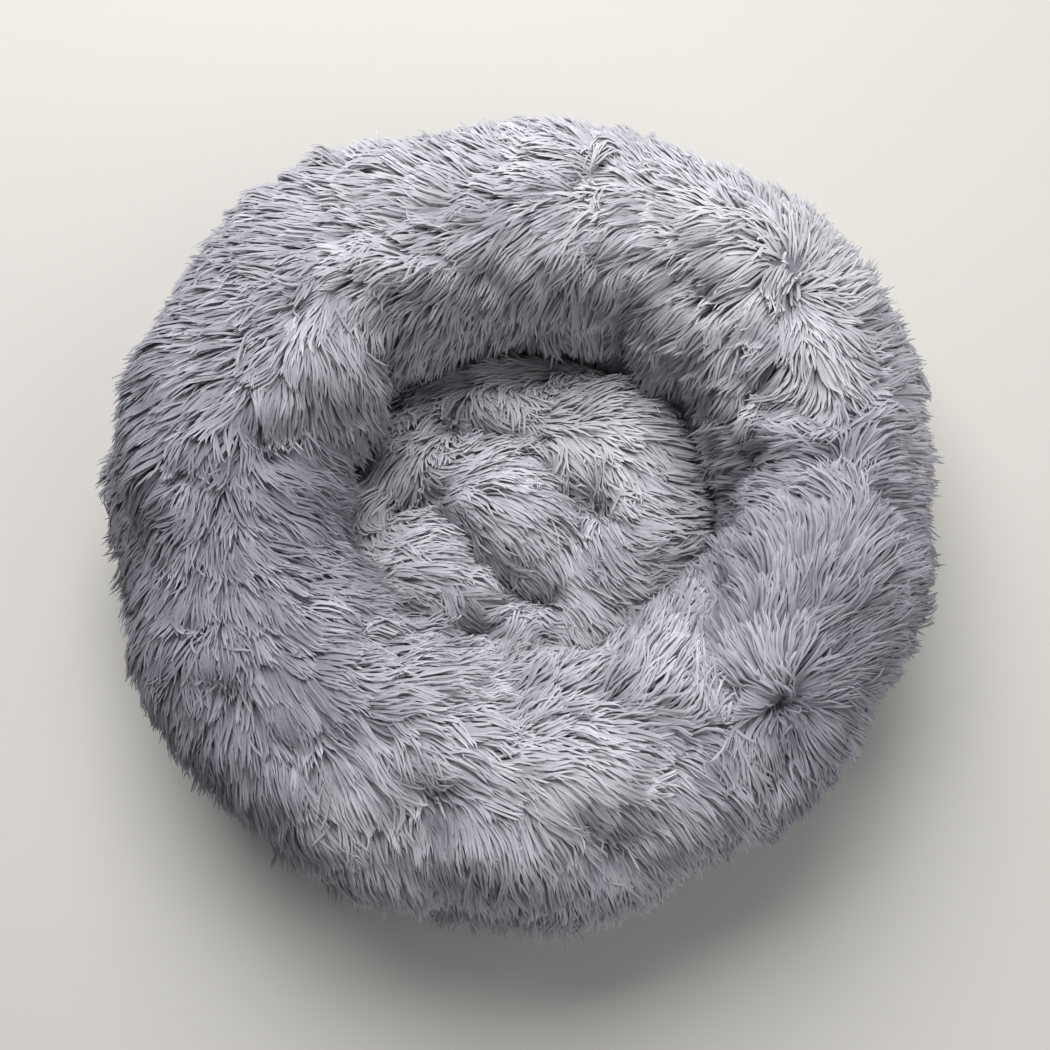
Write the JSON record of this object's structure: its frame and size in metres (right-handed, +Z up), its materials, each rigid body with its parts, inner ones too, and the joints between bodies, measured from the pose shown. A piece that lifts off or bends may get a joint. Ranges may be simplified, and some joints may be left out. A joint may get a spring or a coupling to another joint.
{
  "type": "pet cushion bed",
  "caption": "Round pet cushion bed: a fat ring bolster in long shaggy plush round a sunken padded nest, with a flat non-slip base and a zip round the rear.",
  "frame": {"origin": "centre of the flat resting face under the base", "axes": "+Z up out of the nest, +Y to the rear where the zip is, +X to the right seen from the front"},
  "size_m": [0.6, 0.6, 0.19],
  "materials": {
    "long_pile_plush": "long shaggy faux-fur pile, cool grey, soft sheen on the strands",
    "lining_cloth": "thin woven lining, matt",
    "nonwoven_bag": "spun-bonded non-woven with a point-bond pattern, matt",
    "fibre_filling": "loose crimped polyester fibre, matt",
    "oxford_cloth": "coarse plain-weave polyester, slight sheen",
    "pvc_dots": "printed soft PVC, satin",
    "seam_tape": "twill tape, matt",
    "binding_tape": "grosgrain binding with a ribbed edge, matt",
    "zip_tape": "woven herringbone zip tape, matt",
    "zip_coil": "moulded nylon coil, satin",
    "zip_metal": "die-cast zinc with a grey lacquer, semi-gloss",
    "satin_label": "white satin ribbon, soft gloss"
  },
  "bodies": {
    "root": {"bolster_plush_front": "long_pile_plush", "bolster_plush_rear": "long_pile_plush", "centre_plush": "long_pile_plush", "divider_wall": "lining_cloth", "bolster_bag": "nonwoven_bag", "bolster_filling": "fibre_filling", "pad_bag": "nonwoven_bag", "pad_filling": "fibre_filling", "base_cloth": "oxford_cloth", "grip_dots": "pvc_dots", "inner_seam_tape": "seam_tape", "base_binding": "binding_tape", "panel_seams": "seam_tape", "zip_tape_upper": "zip_tape", "zip_tape_lower": "zip_tape", "zip_coil_upper": "zip_coil", "zip_coil_lower": "zip_coil", "zip_stops": "zip_metal", "care_label": "satin_label"},
    "slider": {"zip_slider": "zip_metal"},
    "pull": {"zip_pull": "zip_metal"}
  },
  "joints": [
    {"name": "zip_slide", "type": "hinge", "parent": "root", "child": "slider", "pos_m": [0, 0, 0], "axis": [0, 0, 1], "range_deg": [0, 104]},
    {"name": "pull_swing", "type": "hinge", "parent": "slider", "child": "pull", "pos_m": [0.21063, 0.16457, 0.0197], "axis": [0, 0, -1], "range_deg": [0, 150]}
  ]
}
